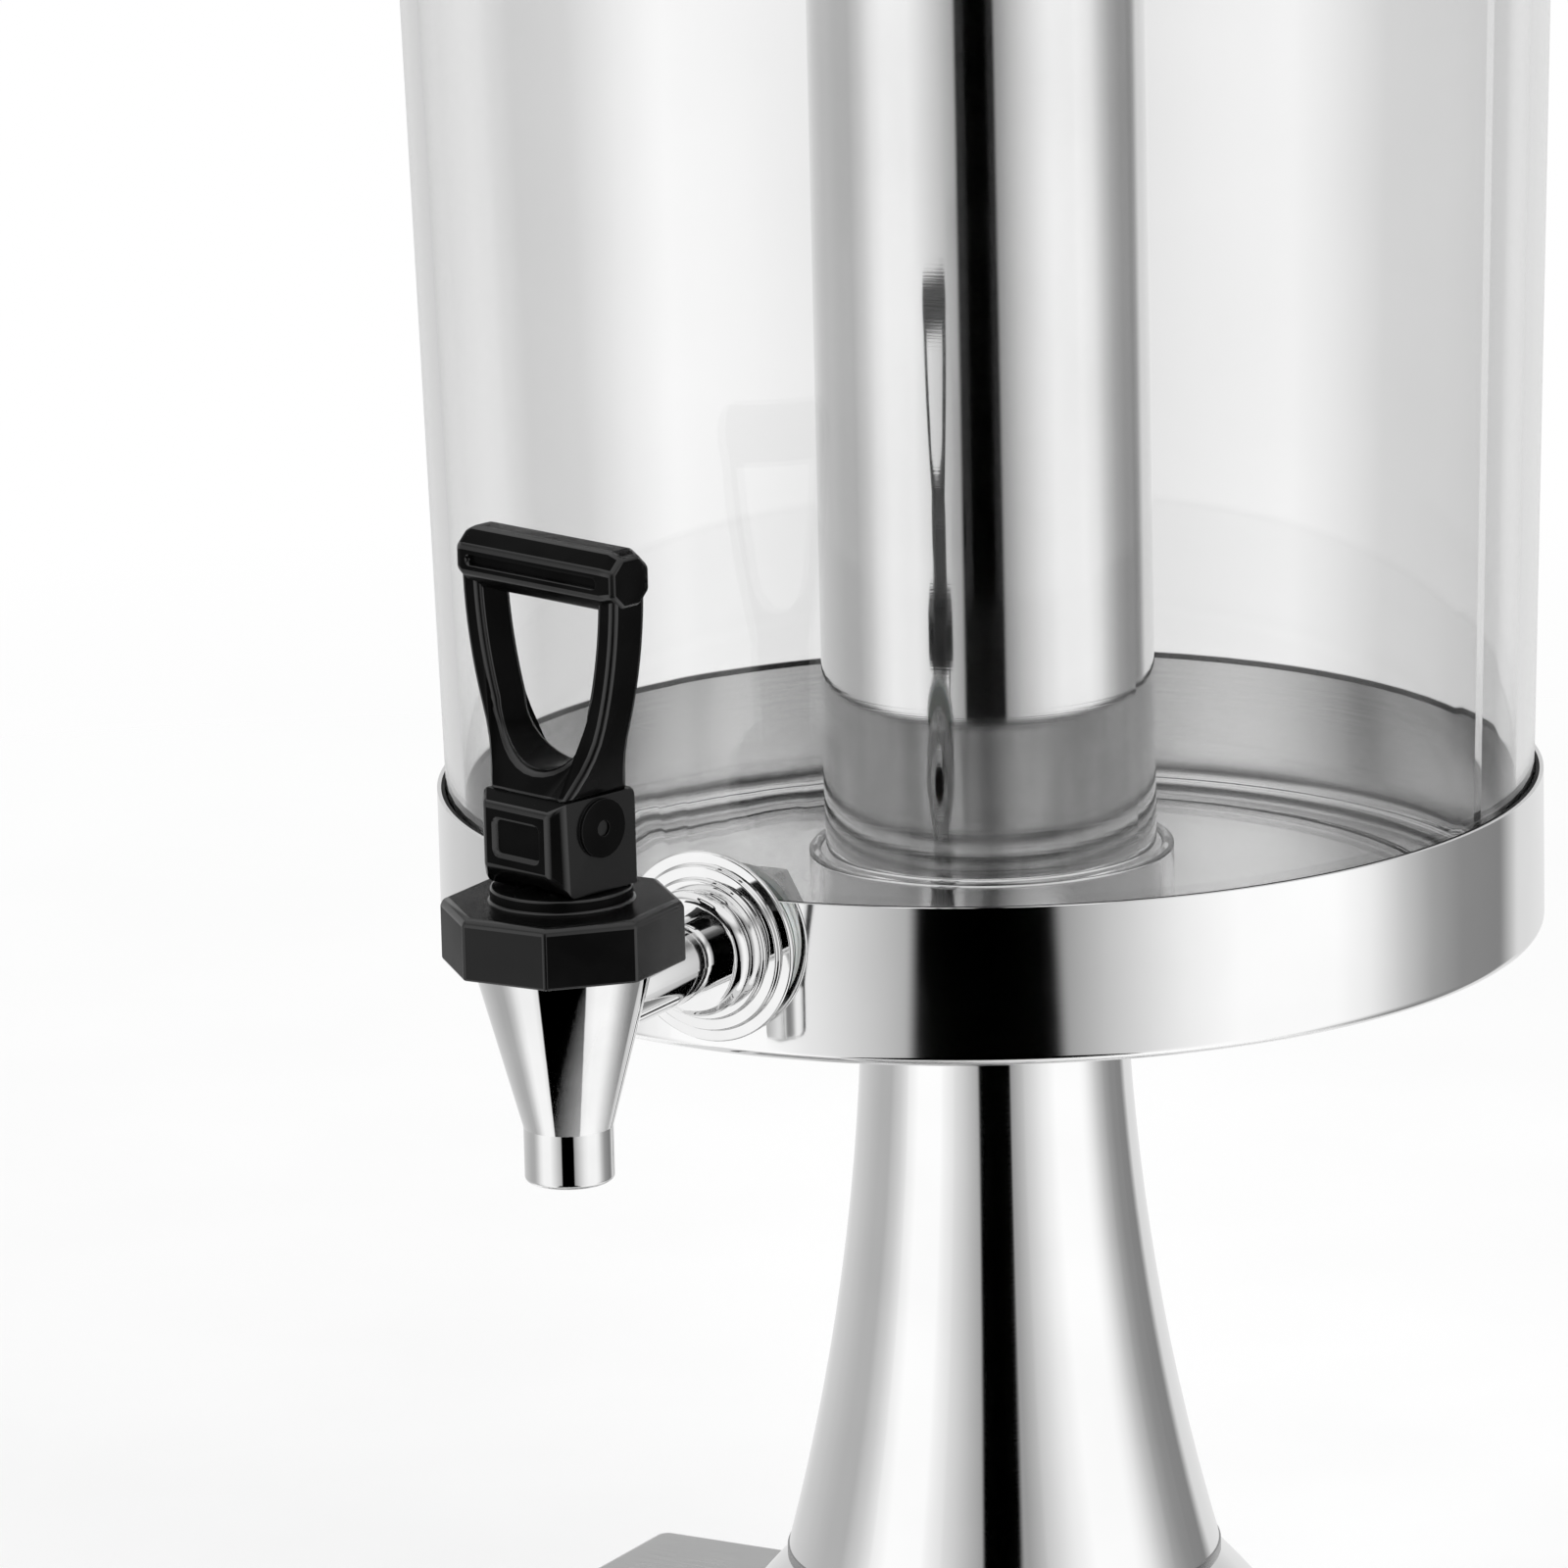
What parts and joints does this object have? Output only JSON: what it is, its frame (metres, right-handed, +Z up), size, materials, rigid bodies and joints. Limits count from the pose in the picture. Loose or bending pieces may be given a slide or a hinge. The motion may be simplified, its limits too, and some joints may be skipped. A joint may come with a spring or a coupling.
{
  "type": "drink dispenser",
  "caption": "Countertop drink dispenser: round clear tank with an ice tube, carried by a steel pan on a flared column and flat base, with a self-closing lever tap over a drip tray.",
  "frame": {"origin": "centre of the footprint's bounding box, on the table plane", "axes": "+Z up, -Y towards the user on the tap's side, +X to the right of the tap as seen by the user facing it"},
  "size_m": [0.252, 0.384, 0.5392],
  "materials": {
    "polished_steel": "mirror-polished stainless sheet",
    "chrome": "chromed tap castings",
    "clear_glass": "clear, smooth",
    "black_plastic": "black, semi-gloss",
    "black_rubber": "black, matte",
    "pale_silicone": "pale silicone rubber",
    "fastener_steel": "plain stainless fasteners",
    "blackened_steel": "blackened steel pin",
    "plate_steel": "dull grey coated plate",
    "tray_plastic": "dark moulded tray"
  },
  "bodies": {
    "stand": {"base_shell": "polished_steel", "base_plate": "plate_steel", "rubber_feet": "black_rubber", "foot_screws": "fastener_steel", "column": "polished_steel", "column_ring": "polished_steel", "column_foot": "polished_steel", "tie_rod": "fastener_steel", "tie_nuts": "fastener_steel", "tie_washers": "fastener_steel", "pan": "polished_steel", "tank_gasket": "black_rubber"},
    "tank_unit": {"tank": "clear_glass", "tube_ring": "clear_glass", "tap_body": "chrome", "tap_flange": "chrome", "flange_seal": "pale_silicone", "inner_seal": "pale_silicone", "shank_washer": "fastener_steel", "shank_nut": "fastener_steel", "bonnet": "black_plastic", "bonnet_seal": "pale_silicone", "spring": "fastener_steel"},
    "ice_tube": {"ice_tube": "polished_steel"},
    "lid": {"lid": "polished_steel", "lid_knob": "black_plastic", "knob_screw": "fastener_steel", "knob_washer": "fastener_steel"},
    "seat": {"seat_cup": "pale_silicone"},
    "stem": {"stem": "fastener_steel"},
    "lever": {"handle": "black_plastic", "handle_pin": "blackened_steel"},
    "drip_tray": {"drip_tray": "tray_plastic"},
    "drip_grid": {"drip_grid": "polished_steel"}
  },
  "joints": [
    {"name": "tank_lift", "type": "slide", "parent": "stand", "child": "tank_unit", "axis": [0, 0, 1], "range_m": [0, 0.08]},
    {"name": "ice_tube_lift", "type": "slide", "parent": "tank_unit", "child": "ice_tube", "axis": [0, 0, 1], "range_m": [0, 0.29]},
    {"name": "lid_lift", "type": "slide", "parent": "ice_tube", "child": "lid", "axis": [0, 0, 1], "range_m": [0, 0.06]},
    {"name": "seat_lift", "type": "slide", "parent": "tank_unit", "child": "seat", "axis": [0, 0, 1], "range_m": [0, 0.0026], "stiffness_N_per_m": 600, "springref_m": -0.003, "deforming": ["spring"]},
    {"name": "stem_turn", "type": "hinge", "parent": "seat", "child": "stem", "pos_m": [0, -0.09404, 0.2287], "axis": [0, 0, 1], "continuous": true},
    {"name": "lever_tilt", "type": "hinge", "parent": "stem", "child": "lever", "pos_m": [0, -0.09404, 0.266], "axis": [0.9659, -0.2588, 0], "range_deg": [0, 25]},
    {"name": "drip_tray_lift", "type": "slide", "parent": "stand", "child": "drip_tray", "axis": [0, 0, 1], "range_m": [0, 0.06]},
    {"name": "drip_grid_lift", "type": "slide", "parent": "drip_tray", "child": "drip_grid", "axis": [0, 0, 1], "range_m": [0, 0.04]}
  ],
  "couplings": [
    {"joint": "lever_tilt", "follows": "seat_lift", "rad_per_m": 167.8}
  ]
}
